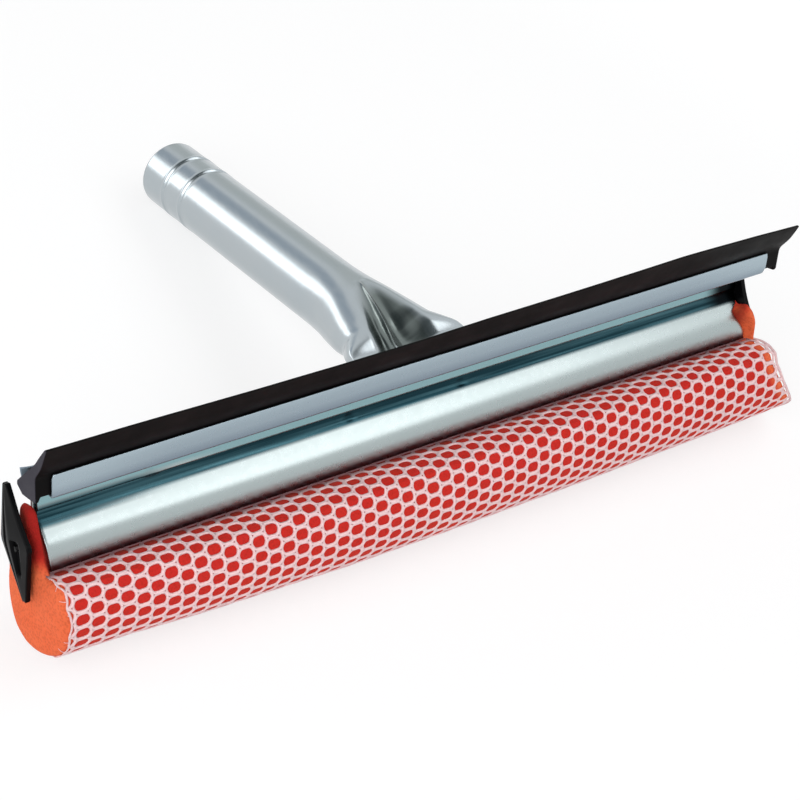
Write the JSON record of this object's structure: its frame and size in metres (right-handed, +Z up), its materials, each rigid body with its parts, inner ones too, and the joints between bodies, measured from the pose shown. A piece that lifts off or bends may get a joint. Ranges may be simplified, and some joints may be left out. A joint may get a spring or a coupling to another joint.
{
  "type": "window squeegee head",
  "caption": "Window-cleaning squeegee head: rubber blade and netted foam sponge in a folded steel head with a tubular socket for a handle.",
  "frame": {"origin": "on the ground, under the middle of the resting object's box", "axes": "+X along the blade to the right seen from the front, +Y from the head towards the socket's mouth, +Z up from the ground it lies on"},
  "size_m": [0.3112, 0.1992, 0.0878],
  "materials": {
    "zinc_steel_tube": "bright zinc-plated rolled steel with soft die streaks",
    "zinc_steel_sheet": "zinc-plated folded sheet steel, blue-grey and smooth",
    "blade_rubber": "moulded black rubber, matt with a dusty bloom",
    "foam": "open-cell polyurethane foam, orange-red",
    "net": "white polyester knitted net with a pinkish cast from the foam",
    "black_plastic": "injection-moulded black plastic, satin"
  },
  "bodies": {
    "head": {"handle_socket": "zinc_steel_tube", "blade_channel": "zinc_steel_sheet", "sponge_front_plate": "zinc_steel_sheet", "sponge_back_plate": "zinc_steel_sheet"},
    "blade": {"rubber_blade": "blade_rubber"},
    "sponge": {"foam_sponge": "foam", "net_cover": "net"},
    "clip_left": {"end_clip_left": "black_plastic"},
    "clip_right": {"end_clip_right": "black_plastic"}
  },
  "joints": [
    {"name": "blade_slide", "type": "slide", "parent": "head", "child": "blade", "axis": [1, 0, 0], "range_m": [0, 0.3]},
    {"name": "sponge_slide", "type": "slide", "parent": "head", "child": "sponge", "axis": [-1, 0, 0], "range_m": [0, 0.295]},
    {"name": "clip_left_pull", "type": "slide", "parent": "sponge", "child": "clip_left", "axis": [-1, 0, 0], "range_m": [0, 0.03]},
    {"name": "clip_right_pull", "type": "slide", "parent": "head", "child": "clip_right", "axis": [1, 0, 0], "range_m": [0, 0.03]}
  ]
}
